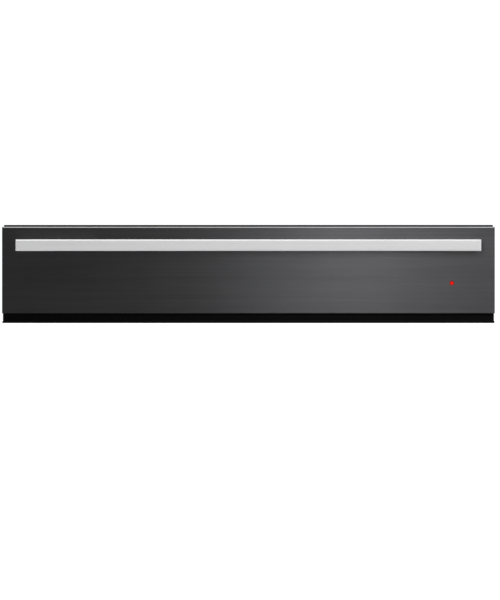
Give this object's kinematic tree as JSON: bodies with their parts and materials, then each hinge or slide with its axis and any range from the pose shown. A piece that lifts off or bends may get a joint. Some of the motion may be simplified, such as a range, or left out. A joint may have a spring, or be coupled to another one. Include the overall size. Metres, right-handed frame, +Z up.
{
  "type": "built in warming drawer",
  "caption": "Built-in warming drawer: heated pan behind a flat dark metal front with a full-width bar handle, pulled out on telescopic slides from a vented steel housing.",
  "frame": {"origin": "centre of the bounding box in plan, on the shelf that the housing stands on", "axes": "+X to the right seen from the front, +Y to the rear, +Z up; the front and its handle face -Y"},
  "size_m": [0.757, 0.62, 0.151],
  "materials": {
    "front_graphite": "satin dark graphite steel, very fine brushing, bright thin bevel",
    "handle_steel": "stainless steel brushed along its length",
    "frame_black": "black powder coat",
    "indicator_red": "clear red, lit",
    "galvanised_steel": "galvanised sheet with faint spangle",
    "stainless_sheet": "brushed stainless sheet",
    "zinc_plate": "bright zinc plate",
    "silicone_grey": "matte silicone",
    "mineral_board": "rough mineral wool board",
    "heater_sheath": "oxidised heater tube",
    "cast_aluminium": "matte aluminium",
    "motor_iron": "laminated motor iron",
    "black_plastic": "fine-grained black plastic",
    "grey_plastic": "grey moulded plastic",
    "circuit_green": "green circuit board"
  },
  "bodies": {
    "housing": {"base_tray": "galvanised_steel", "side_panel_left": "galvanised_steel", "side_panel_right": "galvanised_steel", "back_panel": "galvanised_steel", "top_cover": "galvanised_steel", "front_frame": "frame_black", "plinth_trim": "frame_black", "door_gasket": "silicone_grey", "cavity_wall_left": "stainless_sheet", "cavity_wall_right": "stainless_sheet", "cavity_back": "stainless_sheet", "cavity_floor": "stainless_sheet", "ceiling_liner": "stainless_sheet", "top_insulation": "mineral_board", "base_insulation": "mineral_board", "base_heater": "heater_sheath", "heater_comb_front": "zinc_plate", "heater_comb_rear": "zinc_plate", "ring_heater": "heater_sheath", "fan_cover": "stainless_sheet", "fan_motor": "motor_iron", "thermal_cutout": "cast_aluminium", "control_fascia": "black_plastic", "thermostat_body": "grey_plastic", "switch_body": "black_plastic", "pilot_lamp": "indicator_red", "control_board": "circuit_green", "terminal_box": "grey_plastic", "cable_gland": "black_plastic", "slide_outer_left": "zinc_plate", "slide_outer_right": "zinc_plate"},
    "drawer": {"front_skin": "front_graphite", "front_liner": "stainless_sheet", "front_core": "mineral_board", "indicator_lens": "indicator_red", "handle_bar": "handle_steel", "handle_block_left": "handle_steel", "handle_block_right": "handle_steel", "handle_screw_1": "zinc_plate", "handle_screw_2": "zinc_plate", "handle_screw_3": "zinc_plate", "handle_screw_4": "zinc_plate", "pan_floor": "stainless_sheet", "pan_side_left": "stainless_sheet", "pan_side_right": "stainless_sheet", "pan_back": "stainless_sheet", "non_slip_mat": "silicone_grey", "slide_inner_left": "zinc_plate", "slide_inner_right": "zinc_plate"},
    "slide_stage_left": {"slide_middle_left": "zinc_plate"},
    "slide_stage_right": {"slide_middle_right": "zinc_plate"},
    "outer_cage_left": {"ball_cage_outer_left": "zinc_plate"},
    "outer_cage_right": {"ball_cage_outer_right": "zinc_plate"},
    "inner_cage_left": {"ball_cage_inner_left": "zinc_plate"},
    "inner_cage_right": {"ball_cage_inner_right": "zinc_plate"},
    "fan": {"fan_wheel": "cast_aluminium", "fan_shaft": "zinc_plate"},
    "knob": {"temperature_knob": "black_plastic", "thermostat_shaft": "zinc_plate"},
    "rocker": {"power_rocker": "black_plastic"}
  },
  "joints": [
    {"name": "drawer_slide", "type": "slide", "parent": "housing", "child": "drawer", "axis": [0, -1, 0], "range_m": [0, 0.43]},
    {"name": "middle_left_slide", "type": "slide", "parent": "housing", "child": "slide_stage_left", "axis": [0, -1, 0], "range_m": [0, 0.215]},
    {"name": "middle_right_slide", "type": "slide", "parent": "housing", "child": "slide_stage_right", "axis": [0, -1, 0], "range_m": [0, 0.215]},
    {"name": "outer_cage_left_slide", "type": "slide", "parent": "housing", "child": "outer_cage_left", "axis": [0, -1, 0], "range_m": [0, 0.1075]},
    {"name": "outer_cage_right_slide", "type": "slide", "parent": "housing", "child": "outer_cage_right", "axis": [0, -1, 0], "range_m": [0, 0.1075]},
    {"name": "inner_cage_left_slide", "type": "slide", "parent": "housing", "child": "inner_cage_left", "axis": [0, -1, 0], "range_m": [0, 0.3225]},
    {"name": "inner_cage_right_slide", "type": "slide", "parent": "housing", "child": "inner_cage_right", "axis": [0, -1, 0], "range_m": [0, 0.3225]},
    {"name": "fan_spin", "type": "hinge", "parent": "housing", "child": "fan", "pos_m": [0, 0.2415, 0.072], "axis": [0, 1, 0], "continuous": true},
    {"name": "knob_turn", "type": "hinge", "parent": "housing", "child": "knob", "pos_m": [0.3125, -0.221, 0.0914], "axis": [0, 1, 0], "range_deg": [0, 270]},
    {"name": "rocker_press", "type": "hinge", "parent": "housing", "child": "rocker", "pos_m": [0.3125, -0.2192, 0.0414], "axis": [1, 0, 0], "range_deg": [0, 16]}
  ],
  "couplings": [
    {"joint": "middle_left_slide", "follows": "drawer_slide", "ratio": 0.5},
    {"joint": "middle_right_slide", "follows": "drawer_slide", "ratio": 0.5},
    {"joint": "outer_cage_left_slide", "follows": "drawer_slide", "ratio": 0.25},
    {"joint": "outer_cage_right_slide", "follows": "drawer_slide", "ratio": 0.25},
    {"joint": "inner_cage_left_slide", "follows": "drawer_slide", "ratio": 0.75},
    {"joint": "inner_cage_right_slide", "follows": "drawer_slide", "ratio": 0.75}
  ]
}
